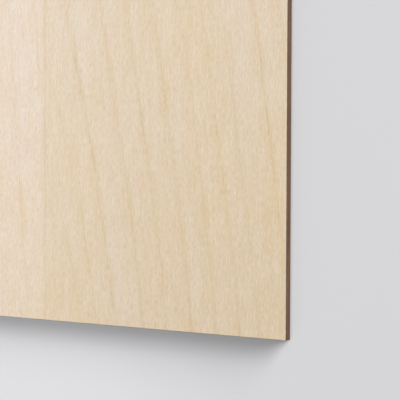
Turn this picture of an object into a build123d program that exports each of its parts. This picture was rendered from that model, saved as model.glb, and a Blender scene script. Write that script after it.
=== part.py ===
from build123d import *
from itertools import accumulate
import os

# A laser-cut plywood sheet, lying flat on its back ply. Lengths are in millimetres.
# X runs across the face grain, Y along it, and Z up through the plies.

# Outline of the blank
sheet_width = 200.0
sheet_length = 300.0
corner_radius = 0.3

# Plies, from the floor up
back_ply = 0.8
core_ply = 1.4
face_ply = 0.8

# Cut edge: the corner taken off beside each face, and the line burnt back at each glue layer
arris = 0.1
glue_line_height = 0.12
glue_line_depth = 0.06

# The plies stack up to the two glue lines and then to the sheet's top
*glue_line_levels, sheet_thickness = accumulate((back_ply, core_ply, face_ply))


def blank_outline(inset=0.0, mode=Mode.ADD):
    """Draw the blank's outline in the open sketch, drawn in by inset on every side."""
    RectangleRounded(
        sheet_width - 2 * inset,
        sheet_length - 2 * inset,
        corner_radius - inset,
        mode=mode,
    )


with BuildPart() as plywood_sheet:
    with BuildSketch(Plane.XY):
        blank_outline()
    extrude(amount=sheet_thickness)

    # The sharp corner beside each face is eased all the way round
    chamfer(plywood_sheet.faces().filter_by(Axis.Z).edges(), length=arris)

    # Glue burns back further than wood, so each glue line is a fine groove round the edge
    for level in glue_line_levels:
        with BuildSketch(Plane.XY.offset(level - glue_line_height / 2)):
            blank_outline()
            blank_outline(inset=glue_line_depth, mode=Mode.SUBTRACT)
        extrude(amount=glue_line_height, mode=Mode.SUBTRACT)

plywood_sheet.part.label = "plywood_sheet"

os.makedirs("parts", exist_ok=True)
export_step(plywood_sheet.part, "parts/plywood_sheet.step")
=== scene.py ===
"""A laser-cut plywood sheet, lying flat on a pale studio floor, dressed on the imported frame.

Lengths are in metres, in the frame's own axes: X runs across the face grain, Y along it and Z up
through the plies. The wood's figure is worked out in millimetres, which suit its scale.
"""

import logging
import math
from dataclasses import dataclass
from enum import Enum
from typing import Any, Sequence

import bpy
import numpy as np
from mathutils import Matrix, Vector


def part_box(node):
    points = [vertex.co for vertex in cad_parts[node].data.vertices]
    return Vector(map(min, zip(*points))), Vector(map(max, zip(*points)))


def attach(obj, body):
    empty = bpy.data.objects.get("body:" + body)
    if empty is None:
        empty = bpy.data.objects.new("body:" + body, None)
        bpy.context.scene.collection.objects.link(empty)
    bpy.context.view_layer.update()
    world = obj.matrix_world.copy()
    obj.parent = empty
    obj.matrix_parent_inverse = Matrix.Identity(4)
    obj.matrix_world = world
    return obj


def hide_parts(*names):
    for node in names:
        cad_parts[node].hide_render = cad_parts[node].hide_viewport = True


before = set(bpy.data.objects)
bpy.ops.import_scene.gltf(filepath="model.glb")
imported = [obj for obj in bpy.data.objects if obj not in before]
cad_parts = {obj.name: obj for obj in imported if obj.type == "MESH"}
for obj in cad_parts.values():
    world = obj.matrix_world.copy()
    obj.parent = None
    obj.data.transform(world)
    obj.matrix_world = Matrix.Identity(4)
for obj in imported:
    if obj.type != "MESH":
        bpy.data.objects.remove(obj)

log = logging.getLogger("plywood")

NODE = "plywood_sheet"
MM = 0.001
# A normal whose Z is above this, or below its negative, is that of a face and not of the edge
FACE_NORMAL = 0.9

Socket = bpy.types.NodeSocket
Pair = tuple[float, float]
Triple = tuple[float, float, float]
Colour = tuple[float, float, float]
CurvePoints = Sequence[Pair]


class Side(Enum):
    """The three kinds of surface on the sheet, by the name of the finish that each wears."""

    FACE = "face_veneer"
    BACK = "back_veneer"
    EDGE = "scorched_edge"


class Graph:
    """Places nodes in one tree and links them.

    Attributes:
        rows: How many nodes stand in a column.
        spacing: How far apart columns and rows stand.
    """

    rows = 6
    spacing = (200, 230)

    def __init__(self, tree: bpy.types.NodeTree) -> None:
        """Starts on a shader, group or geometry tree."""
        self.tree = tree
        self.placed = 0

    def add(self, kind: str, feeds: dict[Any, Any] | None = None, **settings: Any) -> bpy.types.Node:
        """Adds a node, sets its properties and feeds its inputs.

        Args:
            kind: The node's Blender type.
            feeds: Inputs by name or index, each a value or the socket to link.
            settings: Properties of the node.

        Returns:
            The new node.
        """
        node = self.tree.nodes.new(kind)
        column, row = divmod(self.placed, self.rows)
        node.location = (column * self.spacing[0], -row * self.spacing[1])
        self.placed += 1
        for name, value in settings.items():
            setattr(node, name, value)
        for key, value in (feeds or {}).items():
            self.feed(node.inputs[key], value)
        return node

    def feed(self, socket: Socket, value: Any) -> None:
        """Links a socket to an output, or sets its value.

        Args:
            socket: The input to feed.
            value: The output to link, or a plain value.
        """
        if isinstance(value, bpy.types.NodeSocket):
            self.tree.links.new(value, socket)
        else:
            socket.default_value = value

    def maths(self, operation: str, *terms: Any) -> Socket:
        """Works out one sum of one to three numbers or sockets."""
        return self.add("ShaderNodeMath", dict(enumerate(terms)), operation=operation).outputs[0]

    def total(self, *terms: tuple[Socket, float], start: float = 0.0) -> Socket:
        """Adds up masks, each times its share.

        Args:
            terms: Pairs of a socket and its share.
            start: What the sum starts from.

        Returns:
            The sum.
        """
        running: Any = start
        for value, share in terms:
            running = self.maths("MULTIPLY_ADD", value, share, running)
        return running

    def vector(self, operation: str, *terms: Any) -> Socket:
        """Works out one sum of vectors."""
        return self.add("ShaderNodeVectorMath", dict(enumerate(terms)), operation=operation).outputs[0]

    def scale(self, value: Any, factor: Any) -> Socket:
        """Multiplies a vector by one number."""
        feeds = {"Vector": value, "Scale": factor}
        return self.add("ShaderNodeVectorMath", feeds, operation="SCALE").outputs[0]

    def split(self, value: Socket) -> tuple[Socket, Socket, Socket]:
        """Takes a vector apart into its X, Y and Z."""
        node = self.add("ShaderNodeSeparateXYZ", {0: value})
        return node.outputs[0], node.outputs[1], node.outputs[2]

    def join(self, x: Any, y: Any, z: Any = 0.0) -> Socket:
        """Makes a vector of three numbers."""
        return self.add("ShaderNodeCombineXYZ", {0: x, 1: y, 2: z}).outputs[0]

    def mix(self, share: Any, first: Any, second: Any) -> Socket:
        """Goes from the first number to the second as the share goes from 0 to 1."""
        feeds = {"Factor": share, "A": first, "B": second}
        return self.add("ShaderNodeMix", feeds, data_type="FLOAT").outputs[0]

    def blend(self, share: Any, first: Colour, second: Colour) -> Socket:
        """Goes from the first colour to the second as the share goes from 0 to 1.

        Args:
            share: The share of the second colour.
            first: The colour where the share is 0.
            second: The colour where the share is 1.

        Returns:
            The colour between them.
        """
        node = self.add("ShaderNodeMix", {"Factor": share}, data_type="RGBA")
        ends = [socket for socket in node.inputs if socket.type == "RGBA"]
        for socket, colour in zip(ends, (first, second)):
            socket.default_value = (*colour, 1.0)
        return next(socket for socket in node.outputs if socket.type == "RGBA")

    def ramp(self, value: Any, low: float, high: float) -> Socket:
        """Turns a value from low to high into 0 to 1, with soft ends."""
        feeds = {"Value": value, "From Min": low, "From Max": high}
        return self.add("ShaderNodeMapRange", feeds, interpolation_type="SMOOTHSTEP").outputs[0]

    def place(self, unit: float = 1.0) -> Socket:
        """Reads the point's place on the object, in units of so many metres."""
        return self.scale(self.add("ShaderNodeTexCoord").outputs["Object"], 1 / unit)

    def noise(self, place: Socket, detail: float = 0.0, roughness: float = 0.5) -> Socket:
        """Reads even noise of about one blot a unit, centred on 0 and reaching about 0.5 either way.

        Args:
            place: Where the noise is read.
            detail: How many finer layers are laid over it.
            roughness: How strong each finer layer is beside the one before.

        Returns:
            The noise.
        """
        feeds = {"Vector": place, "Scale": 1.0, "Detail": detail, "Roughness": roughness}
        node = self.add("ShaderNodeTexNoise", feeds, noise_dimensions="3D")
        return self.maths("SUBTRACT", node.outputs[0], 0.5)

    def blots(self, place: Socket, size: Any, aside: Triple = (0.0, 0.0, 0.0), **layers: float) -> Socket:
        """Reads noise whose blots are of the size given, from so many blots aside."""
        return self.noise(self.vector("ADD", self.vector("DIVIDE", place, size), aside), **layers)

    def bump(self, height: Socket, depth: float) -> Socket:
        """Turns a height into a relief, where a height of 1 stands so many mm deep."""
        feeds = {"Height": height, "Distance": depth * MM, "Strength": 1.0}
        return self.add("ShaderNodeBump", feeds).outputs[0]

    def curve(self, value: Socket, points: CurvePoints, smooth: bool = False) -> Socket:
        """Reads a value off a drawn curve.

        Args:
            value: The place along the curve, in the points' own units.
            points: The curve's points, from left to right.
            smooth: Whether the line bends softly through the points.

        Returns:
            The curve's height there.
        """
        left, right = points[0][0], points[-1][0]
        low = min(height for _, height in points)
        high = max(height for _, height in points)
        feeds = {"Value": value, "From Min": left, "From Max": right}
        place = self.add("ShaderNodeMapRange", feeds).outputs[0]
        node = self.add("ShaderNodeFloatCurve", {"Value": place})
        drawn = node.mapping.curves[0].points
        while len(drawn) < len(points):
            drawn.new(0.5, 0.5)
        for point, (across, height) in zip(drawn, points):
            point.location = ((across - left) / (right - left), (height - low) / (high - low))
            point.handle_type = "AUTO_CLAMPED" if smooth else "VECTOR"
        node.mapping.update()
        return self.maths("MULTIPLY_ADD", node.outputs[0], high - low, low)


class EffectGroup:
    """A shader node group that several finishes share.

    Attributes:
        name: The group's name.
        inputs: The name and kind of each input.
        outputs: The name of each output.
        output_kind: The kind of all the outputs.
    """

    name = ""
    inputs: tuple[tuple[str, str], ...] = ()
    outputs: tuple[str, ...] = ()
    output_kind = "NodeSocketFloat"

    def tree(self) -> bpy.types.NodeTree:
        """Builds the group once and gives it back whenever it is asked for.

        Returns:
            The group's tree.
        """
        built = bpy.data.node_groups.get(self.name)
        if built:
            return built
        tree = bpy.data.node_groups.new(self.name, "ShaderNodeTree")
        for name, kind in self.inputs:
            tree.interface.new_socket(name, in_out="INPUT", socket_type=kind)
        for name in self.outputs:
            tree.interface.new_socket(name, in_out="OUTPUT", socket_type=self.output_kind)
        graph = Graph(tree)
        source = graph.add("NodeGroupInput").outputs
        sink = graph.add("NodeGroupOutput").inputs
        for socket, value in zip(sink, self.draw(graph, source)):
            graph.feed(socket, value)
        return tree

    def draw(self, graph: Graph, source: Any) -> Sequence[Socket]:
        """Draws the group's nodes and returns what each output takes."""
        raise NotImplementedError

    def place(self, graph: Graph, feeds: dict[str, Any]) -> tuple[Socket, ...]:
        """Places the group in a material, feeds its inputs by name and gives back its outputs in order."""
        node = graph.add("ShaderNodeGroup", feeds, node_tree=self.tree())
        return tuple(node.outputs[name] for name in self.outputs)


@dataclass(frozen=True)
class GrowthRings(EffectGroup):
    """The lines that the growth rings leave where the knife cut through them.

    Each ring is a cone about the pith, so its line is a long arc that leans with the trunk. Lengths
    are in mm, and waves are counted in a mm across and along the grain.

    Attributes:
        marks: Each ring's radius and how strongly its line shows.
        profile: The tone across one line, by the distance outwards from it.
        ring_width: The usual distance between rings.
        slow_waves: The long waves in which the lines stray from a true arc.
        slow_wander: How far they stray in those.
        quick_waves: The short waves in which they stray.
        quick_wander: How far they stray in those.
        fade_waves: The waves in which the lines grow faint.
        fade_slice: The slice of the noise that fades them.
        fade_levels: The levels of that noise from which a line is faintest and strongest.
        faintest: How much of a line is left where it is faintest.
        regained: How much of it comes back where it is strongest.
        dash_waves: The waves that break the lines' cores into dashes.
        dash_slice: The slice of the noise that breaks them.
        dash_levels: The levels of that noise from which a dash starts and is full.
        core_half: How far from the line its core ends, and how far from it the core is full.
    """

    marks: CurvePoints = (
        (0.0, 0.0), (8.5, 0.25), (17.0, 0.4), (26.3, 0.45), (37.0, 1.08), (52.6, 0.85),
        (64.7, 0.88), (77.8, 1.2), (90.5, 0.7), (101.5, 0.92), (110.7, 0.55), (125.7, 1.02),
        (137.0, 0.6), (149.0, 0.85), (160.0, 0.6), (173.0, 0.9), (184.0, 0.5), (200.0, 0.8),
    )
    profile: CurvePoints = (
        (-7.0, -0.1), (-4.0, 0.0), (-2.5, 0.15), (-1.2, 0.45), (-0.5, 0.9), (0.0, 1.1),
        (0.5, 0.9), (1.0, 0.5), (1.8, 0.0), (2.6, -0.25), (4.5, -0.25), (7.0, -0.1),
    )
    ring_width: float = 12.5
    slow_waves: Pair = (0.022, 0.017)
    slow_wander: float = 2.8
    quick_waves: Pair = (0.25, 0.055)
    quick_wander: float = 0.45
    fade_waves: Pair = (0.06, 0.03)
    fade_slice: float = 43.5
    fade_levels: Pair = (-0.2, 0.15)
    faintest: float = 0.6
    regained: float = 0.55
    dash_waves: Pair = (0.12, 0.045)
    dash_slice: float = 43.5
    dash_levels: Pair = (-0.06, 0.14)
    core_half: Pair = (0.65, 0.12)

    name = "growth_rings"
    inputs = (
        ("Position", "NodeSocketVector"), ("Pith", "NodeSocketFloat"), ("Lean", "NodeSocketFloat"),
        ("Depth", "NodeSocketFloat"), ("Taper", "NodeSocketFloat"), ("Bow", "NodeSocketFloat"),
        ("Shift", "NodeSocketFloat"),
    )
    outputs = ("Ring", "Core")

    def draw(self, graph: Graph, source: Any) -> Sequence[Socket]:
        """Draws the soft tone beside each line, and its thin dark core.

        Args:
            graph: The group's graph.
            source: The group's inputs by name.

        Returns:
            The rings' tone and their cores.
        """
        # Equal steps of count from ring to ring, whatever their widths
        steps = [(radius, float(step)) for step, (radius, _) in enumerate(self.marks)]
        count = graph.curve(self.radius(graph, source), steps)
        nearest = graph.maths("ROUND", count)
        strength = graph.curve(nearest, self.strengths())
        off = graph.maths("MULTIPLY", graph.maths("SUBTRACT", count, nearest), self.ring_width)
        ring = graph.maths("MULTIPLY", graph.curve(off, self.profile), strength)
        place = source["Position"]
        clear = self.waves(graph, place, self.fade_waves, self.fade_slice, detail=2.0, roughness=0.6)
        clear = graph.total((graph.ramp(clear, *self.fade_levels), self.regained), start=self.faintest)
        ring = graph.maths("MULTIPLY", ring, clear)
        # The core of a line shows in dashes
        dash = self.waves(graph, place, self.dash_waves, self.dash_slice, detail=2.0, roughness=0.65)
        dash = graph.ramp(dash, *self.dash_levels)
        core = graph.ramp(graph.maths("ABSOLUTE", off), *self.core_half)
        core = graph.maths("MULTIPLY", graph.maths("MULTIPLY", core, dash), strength)
        return ring, core

    def radius(self, graph: Graph, source: Any) -> Socket:
        """Works out how far from the pith the point's wood grew.

        Args:
            graph: The group's graph.
            source: The group's inputs by name.

        Returns:
            The radius in mm.
        """
        place = source["Position"]
        x, y, _ = graph.split(place)
        slow = self.waves(graph, place, self.slow_waves, detail=1.0)
        quick = self.waves(graph, place, self.quick_waves, detail=2.0)
        x = graph.maths("MULTIPLY_ADD", slow, self.slow_wander, x)
        x = graph.maths("MULTIPLY_ADD", quick, self.quick_wander, x)
        across = graph.maths("SUBTRACT", x, source["Pith"])
        across = graph.maths("SUBTRACT", across, graph.maths("MULTIPLY", source["Lean"], y))
        depth = graph.maths("MULTIPLY_ADD", source["Taper"], y, source["Depth"])
        bow = graph.maths("MULTIPLY", source["Bow"], graph.maths("MULTIPLY", y, y))
        depth = graph.maths("ADD", depth, bow)
        squares = [graph.maths("POWER", leg, 2.0) for leg in (across, depth)]
        return graph.maths("ADD", graph.maths("SQRT", graph.maths("ADD", *squares)), source["Shift"])

    def waves(self, graph: Graph, place: Socket, often: Pair, depth: float = 0, **layers: float) -> Socket:
        """Reads one slice of noise, with so many waves in a mm across and along the grain."""
        flat = graph.vector("MULTIPLY_ADD", place, (*often, 0.0), (0.0, 0.0, depth))
        return graph.noise(flat, **layers)

    def strengths(self, hold: float = 0.3) -> list[Pair]:
        """Lists a curve's points, which hold each ring's strength to either side of its own count."""
        strengths = enumerate(strength for _, strength in self.marks)
        return [(step + side, strength) for step, strength in strengths for side in (-hold, hold)]


@dataclass(frozen=True)
class WoodFibres(EffectGroup):
    """Fine fibres, longer streaks and short dark flecks, all drawn out along the grain.

    Each triple of sizes is a width, a length and a depth in mm.

    Attributes:
        streak: The size of a streak.
        fleck: The size of a fleck.
        fleck_levels: The levels of the noise from which a fleck starts and is full.
        curl: The size of one wave of the fibres from side to side.
        fibre_depth: The depth of a fibre.
        long_fibre: How much longer than the others the long fibres are.
        long_depth: The depth of a long fibre.
        long_share: How strongly the long fibres show beside the others.
        mottle: The size of a patch of warmer wood.
        broad: The size of a slow change of tone.
        broad_aside: How far aside the slow changes are read, in their own sizes.
        blush: The size of a patch of rosier wood.
        blush_aside: How far aside the blush is read, in its own sizes, so that it follows nothing else.
    """

    streak: Triple = (2.4, 38.0, 1.0)
    fleck: Triple = (0.9, 3.4, 3.0)
    fleck_levels: Pair = (0.12, 0.26)
    curl: Triple = (3.5, 3.0, 1.0)
    fibre_depth: float = 1.0
    long_fibre: float = 3.2
    long_depth: float = 2.0
    long_share: float = 0.5
    mottle: Triple = (5.5, 16.0, 1.0)
    broad: Triple = (24.0, 60.0, 1.0)
    broad_aside: Triple = (0.0, 0.0, 30.0)
    blush: Triple = (6.0, 12.0, 1.0)
    blush_aside: Triple = (40.0, 40.0, 0.0)

    name = "wood_fibres"
    inputs = (
        ("Position", "NodeSocketVector"), ("Width", "NodeSocketFloat"), ("Length", "NodeSocketFloat"),
        ("Curl", "NodeSocketFloat"),
    )
    outputs = ("Fibre", "Streak", "Fleck", "Mottle", "Broad", "Blush")

    def draw(self, graph: Graph, source: Any) -> Sequence[Socket]:
        """Draws the fibres, the streaks, the flecks, two sizes of mottle and the blush.

        Args:
            graph: The group's graph.
            source: The group's inputs by name.

        Returns:
            What each output takes.
        """
        place, width, length = source["Position"], source["Width"], source["Length"]
        x, y, z = graph.split(place)
        # The fibres wave a little from side to side
        wave = graph.blots(place, self.curl, detail=1.0)
        waved = graph.join(graph.maths("MULTIPLY_ADD", wave, source["Curl"], x), y, z)
        short = graph.blots(waved, graph.join(width, length, self.fibre_depth), detail=1.5, roughness=0.6)
        length = graph.maths("MULTIPLY", length, self.long_fibre)
        long = graph.blots(waved, graph.join(width, length, self.long_depth), detail=1.0)
        fibre = graph.total((short, 1.0), (long, self.long_share))
        streak = graph.blots(place, self.streak, detail=2.0, roughness=0.6)
        fleck = graph.ramp(graph.blots(waved, self.fleck, detail=1.0), *self.fleck_levels)
        mottle = graph.blots(place, self.mottle, detail=3.0, roughness=0.6)
        broad = graph.blots(place, self.broad, self.broad_aside, detail=1.0)
        blush = graph.blots(place, self.blush, self.blush_aside, detail=2.0, roughness=0.7)
        return fibre, streak, fleck, mottle, broad, blush


@dataclass(frozen=True)
class Leaf:
    """One leaf of veneer, cut from its own part of the log. Lengths are in mm.

    Attributes:
        colour: The leaf's colour at the middle of the sheet.
        pith: Where the pith passes, across the sheet.
        lean: How far the pith leans across, for each mm along the sheet.
        depth: How far the knife passed from the pith.
        taper: How the depth grows along the sheet.
        bow: How the depth bends along the sheet.
        shift: Added to every radius, which picks the rings.
        strength: How strongly the rings show.
        fleck: How strongly the flecks show.
    """

    colour: Colour
    pith: float
    lean: float
    depth: float
    taper: float = 0.0
    bow: float = 0.0
    shift: float = 0.0
    strength: float = 1.0
    fleck: float = 1.0

    def rings(self, graph: Graph, place: Socket) -> list[Socket]:
        """Draws the leaf's growth rings.

        Args:
            graph: The material's graph.
            place: The position in mm.

        Returns:
            The rings' tone and their cores.
        """
        feeds = {
            "Position": place, "Pith": self.pith, "Lean": self.lean, "Depth": self.depth,
            "Taper": self.taper, "Bow": self.bow, "Shift": self.shift,
        }
        drawn = GrowthRings().place(graph, feeds)
        return [graph.maths("MULTIPLY", mask, self.strength) for mask in drawn]


@dataclass(frozen=True)
class WoodTone(EffectGroup):
    """How a tone of the wood turns into colour: warmth takes blue out first, then green.

    Attributes:
        warm: What a warmth of 1 takes from red, green and blue.
    """

    warm: Colour = (0.22, 0.44, 1.0)

    name = "wood_tone"
    inputs = (("Colour", "NodeSocketColor"), ("Light", "NodeSocketFloat"), ("Warmth", "NodeSocketFloat"))
    outputs = ("Toned",)
    output_kind = "NodeSocketColor"

    def draw(self, graph: Graph, source: Any) -> Sequence[Socket]:
        """Draws the wood's plain colour with a brightness of about 1 and a warmth of about 0.

        Args:
            graph: The group's graph.
            source: The group's inputs by name.

        Returns:
            The toned colour.
        """
        left = [graph.total((source["Warmth"], -share), start=1.0) for share in self.warm]
        tone = graph.join(*(graph.maths("MULTIPLY", source["Light"], share) for share in left))
        return [graph.vector("MULTIPLY", source["Colour"], tone)]


class Finish:
    """A material that is worked out from the point's place on the object.

    Attributes:
        name: The material's name.
    """

    name: str

    def build(self) -> bpy.types.Material:
        """Builds the material.

        Returns:
            The material, with its shader linked to its output.
        """
        material = bpy.data.materials.new(self.name)
        material.use_nodes = True
        material.node_tree.nodes.clear()
        graph = Graph(material.node_tree)
        skin = graph.add("ShaderNodeBsdfPrincipled", self.skin(graph))
        graph.add("ShaderNodeOutputMaterial", {"Surface": skin.outputs[0]})
        return material

    def skin(self, graph: Graph) -> dict[str, Any]:
        """Works out what the inputs of the material's shader take."""
        raise NotImplementedError


@dataclass(frozen=True)
class VeneerFinish(Finish):
    """A pale hardwood veneer of two leaves, jointed edge to edge and sanded smooth. Lengths are in mm.

    Attributes:
        name: The material's name.
        left: The leaf left of the joint.
        right: The leaf right of it.
        joint: Where the joint runs, across the middle of the sheet.
        slant: How far the joint leans across, for each mm along the sheet.
        joint_blur: How far to either side of the joint the two figures run into each other.
        joint_line: How far from the joint its dark line ends, and how far from it the line is full.
        tone_reach: How far before the joint the left leaf's tone starts to turn into the right one's.
        fibre: A fibre's width and length.
        curl: How far the fibres wave from side to side.
        painted_light_falloff: Painted light and shade: how much lighter the veneer is painted, by the
            distance across the sheet from its middle, lighter to the left and darker to the right.
        warming_and_shade_way: How far the slow warming and its painted shade move on, for each mm across
            and along the sheet.
        warming_and_painted_shade: How much warmer the veneer is by the distance that way; the same curve
            also paints shade that darkens it that way.
        rosiness: What a blush of 1 adds to red, green and blue, as a share.
        roughness: The sanded surface's roughness.
        specular: The level of its sheen.
        ior: Its index of refraction.
        relief: How far the fibres stand up.
    """

    name: str
    left: Leaf
    right: Leaf
    joint: float
    slant: float
    joint_blur: float = 0.15
    joint_line: Pair = (0.85, 0.15)
    tone_reach: float = 3.4
    fibre: Pair = (0.68, 2.3)
    curl: float = 0.8
    painted_light_falloff: CurvePoints = (
        (-150.0, 0.08), (-60.0, 0.06), (0.0, 0.012), (40.0, -0.012), (100.0, -0.02), (150.0, -0.025),
    )
    warming_and_shade_way: Pair = (0.55, -0.6)
    warming_and_painted_shade: CurvePoints = (
        (-160.0, -0.14), (-60.0, -0.075), (40.0, 0.0), (95.0, 0.055), (130.0, 0.092), (160.0, 0.12),
    )
    rosiness: Colour = (0.03, -0.05, 0.02)
    roughness: float = 0.85
    specular: float = 0.06
    ior: float = 1.45
    relief: float = 0.012

    def skin(self, graph: Graph) -> dict[str, Any]:
        """Works out what the inputs of the veneer's shader take.

        Args:
            graph: The material's graph.

        Returns:
            The shader's inputs by name.
        """
        place = graph.place(MM)
        x, y, _ = graph.split(place)
        width, length = self.fibre
        feeds = {"Position": place, "Width": width, "Length": length, "Curl": self.curl}
        fibre, streak, fleck, mottle, broad, blush = WoodFibres().place(graph, feeds)
        beyond = graph.total((x, 1.0), (y, -self.slant), start=-self.joint)
        on_right = graph.ramp(beyond, -self.joint_blur, self.joint_blur)
        leaves = zip(self.left.rings(graph, place), self.right.rings(graph, place))
        ring, core = (graph.mix(on_right, *pair) for pair in leaves)
        flecks = graph.maths("MULTIPLY", fleck, graph.mix(on_right, self.left.fleck, self.right.fleck))
        line = graph.ramp(graph.maths("ABSOLUTE", beyond), *self.joint_line)
        # Painted light and shade: the veneer is painted lighter towards the left of the sheet and darker
        # towards the right
        painted_light_falloff = graph.curve(x, self.painted_light_falloff, smooth=True)
        # The wood warms slowly towards the lower right, and the same curve paints shade that darkens it
        # that way
        way = graph.total((x, self.warming_and_shade_way[0]), (y, self.warming_and_shade_way[1]))
        warming_and_painted_shade = graph.curve(way, self.warming_and_painted_shade, smooth=True)

        # How much each part of the figure lights, warms and lifts the wood, with the painted light of the
        # falloff and the painted shade of the warming
        light = graph.total(
            (fibre, 0.192), (streak, 0.04), (broad, 0.07), (flecks, -0.03), (ring, -0.004),
            (core, -0.036), (line, -0.032), (painted_light_falloff, 1.0), (warming_and_painted_shade, -0.5), start=1.014,
        )
        warmth = graph.total(
            (ring, 0.095), (core, 0.09), (mottle, 0.3), (streak, 0.2), (flecks, 0.02),
            (line, 0.05), (fibre, -0.34), (broad, 0.26), (warming_and_painted_shade, 1.15), start=-0.022,
        )
        height = graph.total((fibre, 1.0), (flecks, -0.5), (core, -0.6), (line, -0.8))

        turned = graph.ramp(beyond, -self.tone_reach, 0.0)
        colour = graph.blend(turned, self.left.colour, self.right.colour)
        feeds = {"Colour": colour, "Light": light, "Warmth": warmth}
        toned = WoodTone().place(graph, feeds)[0]
        blushes = graph.join(blush, blush, blush)
        rosy = graph.vector("MULTIPLY_ADD", blushes, self.rosiness, (1.0, 1.0, 1.0))
        return {
            "Base Color": graph.vector("MULTIPLY", toned, rosy),
            "Roughness": graph.total((fibre, 0.12), (mottle, 0.08), (ring, -0.03), start=self.roughness),
            "Normal": graph.bump(height, self.relief),
            "IOR": self.ior,
            "Specular IOR Level": self.specular,
        }


@dataclass(frozen=True)
class ScorchedEdge(Finish):
    """The laser's cut: plies burnt an even brown, with darker glue lines and fine upright striations.

    Lengths are in mm, and waves are counted in a mm across, along and up.

    Attributes:
        glue_levels: The heights of the glue lines.
        name: The material's name.
        colour: The burnt wood.
        char: The darkest of it, at the glue lines.
        glue_line: How far from its middle a glue line ends, and how far from it the line is full.
        glue_share: How much of the char shows at a glue line.
        core_tone: What the core's end grain adds to the brightness.
        core_blur: How far above and below its glue lines the core's tone ends and is full.
        striae: The waves of the upright striations.
        grain: The waves of the plies' grain.
        soot: The waves of the patches of soot.
        roughness: The burnt surface's roughness.
        specular: The level of its sheen.
        ior: Its index of refraction.
        relief: How deep the striations' bump is.
    """

    glue_levels: Pair
    name: str = Side.EDGE.value
    colour: Colour = (0.0515, 0.0301, 0.0197)
    char: Colour = (0.0262, 0.016, 0.0115)
    glue_line: Pair = (0.09, 0.03)
    glue_share: float = 0.6
    core_tone: float = -0.07
    core_blur: float = 0.03
    striae: Triple = (2.6, 2.6, 0.12)
    grain: Triple = (0.9, 0.9, 5.0)
    soot: Triple = (0.05, 0.05, 0.5)
    roughness: float = 0.72
    specular: float = 0.12
    ior: float = 1.45
    relief: float = 0.03

    def skin(self, graph: Graph) -> dict[str, Any]:
        """Works out what the inputs of the edge's shader take.

        Args:
            graph: The material's graph.

        Returns:
            The shader's inputs by name.
        """
        place = graph.place(MM)
        z = graph.split(place)[2]
        low, high = self.glue_levels
        striae = graph.noise(graph.vector("MULTIPLY", place, self.striae), detail=2.0, roughness=0.6)
        grain = graph.noise(graph.vector("MULTIPLY", place, self.grain), detail=2.0, roughness=0.6)
        soot = graph.noise(graph.vector("MULTIPLY", place, self.soot), detail=3.0, roughness=0.6)
        above = graph.ramp(z, low - self.core_blur, low + self.core_blur)
        below = graph.ramp(z, high + self.core_blur, high - self.core_blur)
        in_core = graph.maths("MULTIPLY", above, below)
        away = [graph.maths("ABSOLUTE", graph.maths("SUBTRACT", z, level)) for level in self.glue_levels]
        glue = graph.maths("MAXIMUM", *(graph.ramp(distance, *self.glue_line) for distance in away))

        # How much each part of the burn lights, warms and lifts the edge
        light = graph.total((striae, 0.75), (grain, 0.3), (soot, 1.0), (in_core, self.core_tone), start=1.0)
        warmth = graph.total((striae, -0.12), (soot, 0.2), (in_core, 0.05))
        height = graph.total((striae, 1.0), (grain, 0.35), (glue, -0.5))

        colour = graph.blend(graph.maths("MULTIPLY", glue, self.glue_share), self.colour, self.char)
        feeds = {"Colour": colour, "Light": light, "Warmth": warmth}
        return {
            "Base Color": WoodTone().place(graph, feeds)[0],
            "Roughness": graph.total((striae, 0.15), (soot, 0.1), start=self.roughness),
            "Normal": graph.bump(height, self.relief),
            "IOR": self.ior,
            "Specular IOR Level": self.specular,
        }


@dataclass(frozen=True)
class FloorPaint(Finish):
    """Matt pale grey, with painted light that makes it a little lighter towards the front left. Lengths are
    in metres.

    Attributes:
        name: The material's name.
        colour: The paint's plain colour.
        painted_light_way: How far the painted light moves on, for each metre across and along the floor.
        painted_light_falloff: Painted light: how much lighter the floor is painted, by the distance that
            way.
        cloud: How strongly the paint clouds.
        roughness: Its roughness.
        specular: The level of its sheen.
    """

    name: str = "studio_floor"
    colour: Colour = (0.657, 0.657, 0.67)
    painted_light_way: Pair = (-0.8, -0.6)
    painted_light_falloff: CurvePoints = (
        (-0.4, -0.03), (-0.1, 0.0), (0.022, 0.025), (0.066, 0.1), (0.14, 0.215), (0.35, 0.28),
    )
    cloud: float = 0.01
    roughness: float = 0.9
    specular: float = 0.1

    def skin(self, graph: Graph) -> dict[str, Any]:
        """Works out what the inputs of the floor's shader take.

        Args:
            graph: The material's graph.

        Returns:
            The shader's inputs by name.
        """
        place = graph.place()
        x, y, _ = graph.split(place)
        # Painted light: the floor is painted lighter towards the front left
        way = graph.total((x, self.painted_light_way[0]), (y, self.painted_light_way[1]))
        painted_light_falloff = graph.curve(way, self.painted_light_falloff, smooth=True)
        tone = graph.total((graph.noise(place, detail=1.0), self.cloud), (painted_light_falloff, 1.0), start=1.0)
        return {
            "Base Color": graph.scale(self.colour, tone),
            "Roughness": self.roughness,
            "Specular IOR Level": self.specular,
        }


def put(name: str, data: Any) -> bpy.types.Object:
    """Puts an object in the scene.

    Args:
        name: The object's name.
        data: Its mesh, lamp or camera.

    Returns:
        The object.
    """
    placed = bpy.data.objects.new(name, data)
    bpy.context.scene.collection.objects.link(placed)
    return placed


@dataclass(frozen=True)
class StudioFloor:
    """A large, plain, pale grey floor. Lengths are in metres.

    Attributes:
        name: The floor's name.
        reach: How far it goes on, every way.
        sides: How many sides its round rim has.
        drop: How far under the sheet it lies.
        paint: Its finish.
    """

    name: str = "studio_floor"
    reach: float = 1.6
    sides: int = 64
    drop: float = 0.00004
    paint: FloorPaint = FloorPaint()

    def build(self) -> bpy.types.Object:
        """Lays the floor just under the sheet.

        Returns:
            The floor's object.
        """
        turns = [math.tau * step / self.sides for step in range(self.sides)]
        rim = [(self.reach * math.cos(turn), self.reach * math.sin(turn), -self.drop) for turn in turns]
        mesh = bpy.data.meshes.new(self.name)
        mesh.from_pydata(rim, [], [tuple(range(self.sides))])
        mesh.materials.append(self.paint.build())
        floor = put(self.name, mesh)
        return floor


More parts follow.
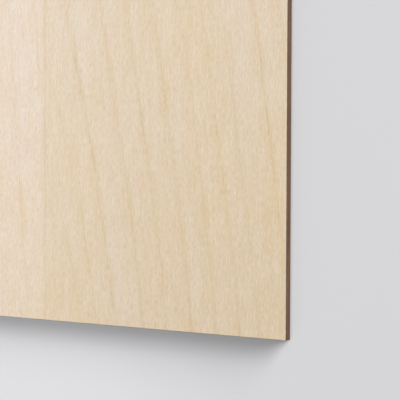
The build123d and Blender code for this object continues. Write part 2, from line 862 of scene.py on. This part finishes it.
@dataclass
class BoardTree:
    """The geometry-node tree that cuts the sheet: a section swept round its outline, closed by two faces.

    Attributes:
        name: The tree's name.
        corner_steps: How many steps round off a corner.
        striae: The waves of the laser's upright striations, in a metre across, along and up.
        scored: The levels of the noise from which the striations start and are deepest.
        weld: How close two parts' points lie to be made one, in metres.
        inputs: The names of the tree's inputs: its sizes in metres, and the seed of its noise.
    """

    name: str = "cut_board"
    corner_steps: int = 4
    striae: Triple = (1600.0, 1600.0, 60.0)
    scored: Pair = (0.35, 0.7)
    weld: float = 0.000002

    inputs = (
        "Width", "Length", "Thickness", "Corner Radius", "Arris", "Back Ply", "Core Ply", "Glue Depth",
        "Glue Height", "Edge Step", "Face Step", "Scorch Depth", "Seed",
    )

    def build(self, materials: dict[Side, bpy.types.Material]) -> bpy.types.NodeTree:
        """Builds the tree.

        Args:
            materials: The finish of each kind of surface.

        Returns:
            The finished tree.
        """
        self.tree = bpy.data.node_groups.new(self.name, "GeometryNodeTree")
        for name in self.inputs:
            self.tree.interface.new_socket(name, in_out="INPUT", socket_type="NodeSocketFloat")
        self.tree.interface.new_socket("Geometry", in_out="OUTPUT", socket_type="NodeSocketGeometry")
        self.graph = Graph(self.tree)
        self.given = self.graph.add("NodeGroupInput").outputs
        edge = self.edge()
        joined = self.join(edge, self.face(edge, top=True), self.face(edge, top=False))
        feeds = {"Geometry": joined, "Distance": self.weld}
        whole = self.graph.add("GeometryNodeMergeByDistance", feeds).outputs[0]
        feeds = {"Geometry": whole, "Shade Smooth": False}
        whole = self.graph.add("GeometryNodeSetShadeSmooth", feeds).outputs[0]
        whole = self.graph.add("GeometryNodeRealizeInstances", {0: whole}).outputs[0]
        self.graph.add("NodeGroupOutput", {0: self.dress(whole, materials)})
        return self.tree

    def join(self, *parts: Socket) -> Socket:
        """Joins parts into one geometry.

        Args:
            parts: The parts' sockets.

        Returns:
            The joined geometry.
        """
        joined = self.graph.add("GeometryNodeJoinGeometry")
        for part in parts:
            self.graph.feed(joined.inputs[0], part)
        return joined.outputs[0]

    def outline(self, step: Socket) -> Socket:
        """Draws the sheet's rounded outline.

        Args:
            step: The distance between its points.

        Returns:
            The closed curve.
        """
        graph, given = self.graph, self.given
        feeds = {"Width": given["Width"], "Height": given["Length"]}
        sharp = graph.add("GeometryNodeCurvePrimitiveQuadrilateral", feeds).outputs[0]
        feeds = {"Curve": sharp, "Count": self.corner_steps, "Radius": given["Corner Radius"]}
        rounded = graph.add("GeometryNodeFilletCurve", feeds, mode="POLY").outputs[0]
        feeds = {"Curve": rounded, "Length": step}
        divided = graph.add("GeometryNodeResampleCurve", feeds, mode="LENGTH").outputs[0]
        return graph.add("GeometryNodeSetCurveNormal", {"Curve": divided}, mode="Z_UP").outputs[0]

    def section(self) -> Socket:
        """Draws the edge's section from the back arris to the face arris, with a groove at each glue line.

        Returns:
            The section's curve, outwards along X and with its heights along -Y, as the sweep takes them.
        """
        graph, given = self.graph, self.given
        arris, depth = given["Arris"], given["Glue Depth"]
        half = graph.maths("MULTIPLY", given["Glue Height"], 0.5)
        knots: list[tuple[Any, Any]] = [(arris, 0.0), (0.0, arris)]
        for level in (given["Back Ply"], graph.maths("ADD", given["Back Ply"], given["Core Ply"])):
            knots += [
                (0.0, graph.maths("SUBTRACT", level, half)),
                (depth, level),
                (0.0, graph.maths("ADD", level, half)),
            ]
        knots += [(0.0, graph.maths("SUBTRACT", given["Thickness"], arris)), (arris, given["Thickness"])]
        switch = graph.add("GeometryNodeIndexSwitch", data_type="VECTOR")
        while len(switch.index_switch_items) < len(knots):
            switch.index_switch_items.new()
        graph.feed(switch.inputs["Index"], graph.add("GeometryNodeInputIndex").outputs[0])
        for step, knot in enumerate(knots, start=1):
            inwards, down = (graph.maths("MULTIPLY", way, -1.0) for way in knot)
            graph.feed(switch.inputs[step], graph.join(inwards, down))
        line = graph.add("GeometryNodeMeshLine", {"Count": len(knots)}).outputs[0]
        feeds = {"Geometry": line, "Position": switch.outputs[0]}
        placed = graph.add("GeometryNodeSetPosition", feeds).outputs[0]
        drawn = graph.add("GeometryNodeMeshToCurve", {"Mesh": placed}).outputs[0]
        return graph.add("GeometryNodeSubdivideCurve", {"Curve": drawn, "Cuts": 1}).outputs[0]

    def edge(self) -> Socket:
        """Sweeps the section round the outline and scores it with the laser's upright striations.

        Returns:
            The band of the cut edge.
        """
        graph, given = self.graph, self.given
        feeds = {"Curve": self.outline(given["Edge Step"]), "Profile Curve": self.section()}
        swept = graph.add("GeometryNodeCurveToMesh", feeds).outputs[0]
        swept = graph.add("GeometryNodeFlipFaces", {0: swept}).outputs[0]
        place = graph.vector("MULTIPLY", graph.add("GeometryNodeInputPosition").outputs[0], self.striae)
        feeds = {"Vector": place, "W": given["Seed"], "Scale": 1.0, "Detail": 1.0}
        score = graph.add("ShaderNodeTexNoise", feeds, noise_dimensions="4D").outputs[0]
        depth = graph.maths("MULTIPLY", graph.ramp(score, *self.scored), given["Scorch Depth"])
        level = graph.vector("MULTIPLY", graph.add("GeometryNodeInputNormal").outputs[0], (1.0, 1.0, 0.0))
        offset = graph.scale(graph.vector("NORMALIZE", level), graph.maths("MULTIPLY", depth, -1.0))
        return graph.add("GeometryNodeSetPosition", {"Geometry": swept, "Offset": offset}).outputs[0]

    def face(self, edge: Socket, top: bool) -> Socket:
        """Closes the band with one face: an even grid, and a border that meets the edge's own points.

        Args:
            edge: The band of the cut edge.
            top: True for the show face and False for the back.

        Returns:
            The face's mesh.
        """
        graph, given = self.graph, self.given
        margins = graph.maths("MULTIPLY", given["Face Step"], 2.0)
        feeds = {}
        for axis, name in (("X", "Width"), ("Y", "Length")):
            size = graph.maths("SUBTRACT", given[name], margins)
            cells = graph.maths("ROUND", graph.maths("DIVIDE", size, given["Face Step"]))
            feeds[f"Size {axis}"] = size
            feeds[f"Vertices {axis}"] = graph.maths("ADD", cells, 1.0)
        grid = graph.add("GeometryNodeMeshGrid", feeds).outputs[0]
        height = graph.split(graph.add("GeometryNodeInputPosition").outputs[0])[2]
        middle = graph.maths("MULTIPLY", given["Thickness"], 0.5)
        beside = graph.maths("GREATER_THAN" if top else "LESS_THAN", height, middle)
        loops = self.join(self.rim(edge, beside), self.rim(grid, 1.0))
        border = graph.add("GeometryNodeFillCurve", {0: loops}, mode="TRIANGLES").outputs[0]
        rise = graph.join(0.0, 0.0, given["Thickness"] if top else 0.0)
        feeds = {"Geometry": self.join(grid, border), "Offset": rise}
        whole = graph.add("GeometryNodeSetPosition", feeds).outputs[0]
        return whole if top else graph.add("GeometryNodeFlipFaces", {0: whole}).outputs[0]

    def rim(self, mesh: Socket, chosen: Any) -> Socket:
        """Draws the open boundary of a mesh as a closed curve.

        Args:
            mesh: The mesh.
            chosen: 1 on the points whose boundary is drawn.

        Returns:
            The closed curve.
        """
        graph = self.graph
        faces = graph.add("GeometryNodeInputMeshEdgeNeighbors").outputs[0]
        chosen = graph.maths("MULTIPLY", graph.maths("COMPARE", faces, 1.0, 0.1), chosen)
        return graph.add("GeometryNodeMeshToCurve", {"Mesh": mesh, "Selection": chosen}).outputs[0]

    def dress(self, whole: Socket, materials: dict[Side, bpy.types.Material]) -> Socket:
        """Gives the edge and the two faces their finishes.

        Args:
            whole: The closed board.
            materials: The finish of each kind of surface.

        Returns:
            The board with its materials set.
        """
        graph = self.graph
        up = graph.split(graph.add("GeometryNodeInputNormal").outputs[0])[2]
        chosen = {
            Side.FACE: graph.maths("GREATER_THAN", up, FACE_NORMAL),
            Side.BACK: graph.maths("LESS_THAN", up, -FACE_NORMAL),
            Side.EDGE: graph.maths("LESS_THAN", graph.maths("ABSOLUTE", up), FACE_NORMAL),
        }
        for side, selection in chosen.items():
            feeds = {"Geometry": whole, "Selection": selection, "Material": materials[side]}
            whole = graph.add("GeometryNodeSetMaterial", feeds).outputs[0]
        return whole


@dataclass(frozen=True)
class FlatMap:
    """The sheet laid out on a unit square: the two faces side by side, and beside them the edges in strips.

    Attributes:
        name: The map's name.
        face: Where the show face starts and ends across the square.
        back: Where the back starts and ends.
        strips: Where the first edge's strip starts.
        strip: The width of a strip.
        gap: The space between the strips, and at the square's top and bottom.
    """

    name: str = "OFBake"
    face: Pair = (0.004, 0.52)
    back: Pair = (0.524, 0.896)
    strips: float = 0.9
    strip: float = 0.02
    gap: float = 0.004

    def lay_out(self, mesh: bpy.types.Mesh) -> None:
        """Gives a mesh its map.

        Args:
            mesh: The board's mesh.
        """
        places = self.read(mesh.vertices, "co", 3)
        low, high = places.min(0), places.max(0)
        at = ((places - low) / (high - low))[self.read(mesh.loops, "vertex_index", 1, int)[:, 0]]
        sides = self.read(mesh.polygons, "loop_total", 1, int)[:, 0]
        across, along, up = np.repeat(self.read(mesh.polygons, "normal", 3), sides, axis=0).T
        spread = np.zeros((len(at), 2))
        spread[:, 1] = at[:, 1]
        for (left, right), chosen in ((self.face, up > FACE_NORMAL), (self.back, up < -FACE_NORMAL)):
            spread[chosen, 0] = left + at[chosen, 0] * (right - left)
        edge = np.abs(up) <= FACE_NORMAL
        long = edge & (np.abs(across) > np.abs(along))
        short = edge & ~long
        edges = (
            (long & (across > 0), 1), (long & (across <= 0), 1),
            (short & (along > 0), 0), (short & (along <= 0), 0),
        )
        for step, (chosen, axis) in enumerate(edges):
            left = self.strips + step * (self.strip + self.gap)
            spread[chosen, 0] = left + at[chosen, 2] * self.strip
            spread[chosen, 1] = at[chosen, axis]
        spread[:, 1] = self.gap + spread[:, 1] * (1 - 2 * self.gap)
        layer = mesh.uv_layers.new(name=self.name)
        layer.uv.foreach_set("vector", spread.astype(np.float32).ravel())

    def read(self, items: Any, name: str, width: int, kind: type = float) -> np.ndarray:
        """Reads one property of all of a mesh's items.

        Args:
            items: The mesh's points, corners or faces.
            name: The property's name.
            width: How many numbers it holds.
            kind: What kind of number they are.

        Returns:
            A row for each item.
        """
        values = np.empty(len(items) * width, kind)
        items.foreach_get(name, values)
        return values.reshape(-1, width)


@dataclass
class PlywoodSheet:
    """The sheet: two faces of veneer over a core, and the cut edge round them. Lengths are in metres.

    Attributes:
        corner_radius: The radius of the outline's corners.
        arris: How far the sharp corner beside each face is eased.
        back_ply: The thickness of the back ply.
        core_ply: The thickness of the core ply.
        glue_depth: How far each glue line is burnt back.
        glue_height: How high the groove at a glue line is.
        edge_step: The distance between points round the edge.
        face_step: The distance between points across the faces.
        scorch_depth: How deep the laser's striations are.
        seed: The seed of the striations.
        face: The show face's finish.
        back: The back's finish.
        flat_map: The map that the board is laid out on.
    """

    corner_radius: float = 0.0003
    arris: float = 0.0001
    back_ply: float = 0.0008
    core_ply: float = 0.0014
    glue_depth: float = 0.00006
    glue_height: float = 0.00012
    edge_step: float = 0.0004
    face_step: float = 0.004
    scorch_depth: float = 0.00003
    seed: float = 7.0
    face: VeneerFinish = VeneerFinish(
        Side.FACE.value,
        left=Leaf(
            (0.778, 0.647, 0.508),
            pith=-85.7,
            lean=-0.0904,
            depth=10.0,
            shift=-0.75,
            strength=0.48,
            fleck=2.2,
        ),
        right=Leaf(
            (0.757, 0.623, 0.465),
            pith=-40.99,
            lean=-0.12086,
            depth=28.41,
            taper=0.07,
            bow=-0.00085,
        ),
        joint=-26.3,
        slant=-0.006,
    )
    back: VeneerFinish = VeneerFinish(
        Side.BACK.value,
        left=Leaf((0.74, 0.60, 0.45), pith=70.0, lean=0.08, depth=60.0, taper=0.1, shift=-20.0),
        right=Leaf((0.77, 0.635, 0.485), pith=-80.0, lean=0.05, depth=30.0, taper=-0.12),
        joint=34.0,
        slant=0.004,
    )
    flat_map: FlatMap = FlatMap()

    def build(self) -> bpy.types.Object:
        """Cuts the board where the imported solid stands, dresses it and puts it in that solid's place.

        Returns:
            The finished board.
        """
        edge = ScorchedEdge((self.back_ply / MM, (self.back_ply + self.core_ply) / MM))
        finishes = {Side.FACE: self.face, Side.BACK: self.back, Side.EDGE: edge}
        board = self.cut({side: finish.build() for side, finish in finishes.items()})
        self.flat_map.lay_out(board.data)
        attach(board, "root")
        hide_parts(NODE)
        log.info("board: %d faces, %d corners", len(board.data.polygons), len(board.data.vertices))
        return board

    def cut(self, materials: dict[Side, bpy.types.Material]) -> bpy.types.Object:
        """Runs the geometry nodes and keeps their result as a plain mesh.

        Args:
            materials: The finish of each kind of surface.

        Returns:
            The board's object.
        """
        blank = put("board_blank", bpy.data.meshes.new("board_blank"))
        modifier = blank.modifiers.new("cut", "NODES")
        modifier.node_group = BoardTree().build(materials)
        low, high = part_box(NODE)
        sizes = {
            "Width": high[0] - low[0], "Length": high[1] - low[1], "Thickness": high[2] - low[2],
            "Corner Radius": self.corner_radius, "Arris": self.arris, "Back Ply": self.back_ply,
            "Core Ply": self.core_ply, "Glue Depth": self.glue_depth, "Glue Height": self.glue_height,
            "Edge Step": self.edge_step, "Face Step": self.face_step, "Scorch Depth": self.scorch_depth,
            "Seed": self.seed,
        }
        for item in modifier.node_group.interface.items_tree:
            if item.in_out == "INPUT":
                modifier[item.identifier] = float(sizes[item.name])
        graph = bpy.context.evaluated_depsgraph_get()
        mesh = bpy.data.meshes.new_from_object(blank.evaluated_get(graph), depsgraph=graph)
        bpy.data.objects.remove(blank)
        mesh.name = "board"
        for index in reversed(range(len(mesh.materials))):
            if mesh.materials[index] is None:
                mesh.materials.pop(index=index)
        return put("board", mesh)


@dataclass(frozen=True)
class SoftBox:
    """A broad white lamp that lights the middle of the sheet.

    Attributes:
        name: The lamp's name.
        azimuth: The way to the lamp in degrees, from +X towards +Y.
        elevation: Its height above the floor in degrees.
        distance: How far it stands, in metres.
        size: Its width and height in metres.
        share: Its share of the light that falls on the sheet, where 1 shows a colour as it is written.
    """

    name: str
    azimuth: float
    elevation: float
    distance: float
    size: Pair
    share: float

    def build(self) -> bpy.types.Object:
        """Hangs the lamp, facing the sheet.

        Returns:
            The lamp's object.
        """
        turn, rise = math.radians(self.azimuth), math.radians(self.elevation)
        way = Vector((math.cos(turn) * math.cos(rise), math.sin(turn) * math.cos(rise), math.sin(rise)))
        lamp = bpy.data.lights.new(self.name, "AREA")
        lamp.shape = "RECTANGLE"
        lamp.size, lamp.size_y = self.size
        lamp.energy = self.share * math.pi**2 * self.distance**2 / math.sin(rise)
        hung = put(self.name, lamp)
        hung.location = way * self.distance
        hung.rotation_euler = (-way).to_track_quat("-Z", "Y").to_euler()
        hung.visible_camera = False
        return hung


@dataclass(frozen=True)
class Studio:
    """The lamps, the even light of the room and its white background.

    Attributes:
        lamps: The lamps.
        room_light: How strongly the room lights the sheet.
        background: How bright the room looks, where 1 is white.
    """

    lamps: tuple[SoftBox, ...] = (
        SoftBox("key_light", azimuth=31.0, elevation=8.6, distance=3.0, size=(2.2, 0.7), share=0.535),
        SoftBox("upper_light", azimuth=60.0, elevation=40.0, distance=2.0, size=(1.2, 0.9), share=0.06),
        SoftBox("top_light", azimuth=262.0, elevation=77.0, distance=0.8, size=(0.4, 0.4), share=0.3),
        SoftBox("fill_light", azimuth=235.0, elevation=18.0, distance=3.0, size=(2.4, 1.2), share=0.04),
    )
    room_light: float = 0.14
    background: float = 1.0

    def build(self) -> None:
        """Hangs the lamps and lights the room."""
        for lamp in self.lamps:
            lamp.build()
        world = bpy.data.worlds.new("studio_room")
        bpy.context.scene.world = world
        world.use_nodes = True
        world.node_tree.nodes.clear()
        graph = Graph(world.node_tree)
        seen = graph.add("ShaderNodeLightPath").outputs
        mirrored = graph.maths("MAXIMUM", seen["Is Glossy Ray"], seen["Is Transmission Ray"])
        shown = graph.maths("MAXIMUM", seen["Is Camera Ray"], mirrored)
        strength = graph.mix(shown, self.room_light, self.background)
        room = graph.add("ShaderNodeBackground", {"Color": (1.0, 1.0, 1.0, 1.0), "Strength": strength})
        graph.add("ShaderNodeOutputWorld", {"Surface": room.outputs[0]})
        log.info("studio: %d lamps, room light %.2f", len(self.lamps), self.room_light)


@dataclass(frozen=True)
class Viewpoint:
    """The camera, where the photograph was taken from.

    Attributes:
        position: The camera's place in metres.
        aim: The point on the show face at the middle of its picture.
        roll: How far it is turned about its view, in degrees.
        lens: The focal length in mm.
        sensor: The width of its sensor in mm.
        clip: How near and how far it sees, in metres.
    """

    position: Triple = (0.41952, -0.084377, 0.482595)
    aim: Triple = (0.058426, -0.096565, 0.003)
    roll: float = 0.25213
    lens: float = 135.0
    sensor: float = 36.0
    clip: Pair = (0.01, 50.0)

    def build(self) -> bpy.types.Object:
        """Sets the camera up, with the grain running up its picture.

        Returns:
            The camera's object.
        """
        back = (Vector(self.position) - Vector(self.aim)).normalized()
        right = Vector((0.0, 1.0, 0.0)).cross(back).normalized()
        upright = Matrix((right, back.cross(right), back)).transposed()
        turned = upright @ Matrix.Rotation(math.radians(self.roll), 3, "Z")
        data = bpy.data.cameras.new("camera")
        data.lens, data.sensor_width = self.lens, self.sensor
        data.clip_start, data.clip_end = self.clip
        camera = put("camera", data)
        camera.matrix_world = Matrix.Translation(self.position) @ turned.to_4x4()
        bpy.context.scene.camera = camera
        return camera


def main() -> None:
    """Builds the studio and the sheet in order, and reports each."""
    logging.basicConfig(level=logging.INFO, format="%(name)s: %(message)s")
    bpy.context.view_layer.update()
    bpy.context.scene.view_settings.view_transform = "Standard"
    camera = Viewpoint().build()
    log.info("camera: %.0f mm lens", camera.data.lens)
    Studio().build()
    floor = StudioFloor().build()
    log.info("floor: %s", floor.name)
    sheet = PlywoodSheet().build()
    log.info("sheet: %s on %s", sheet.name, NODE)


if __name__ == "__main__":
    main()
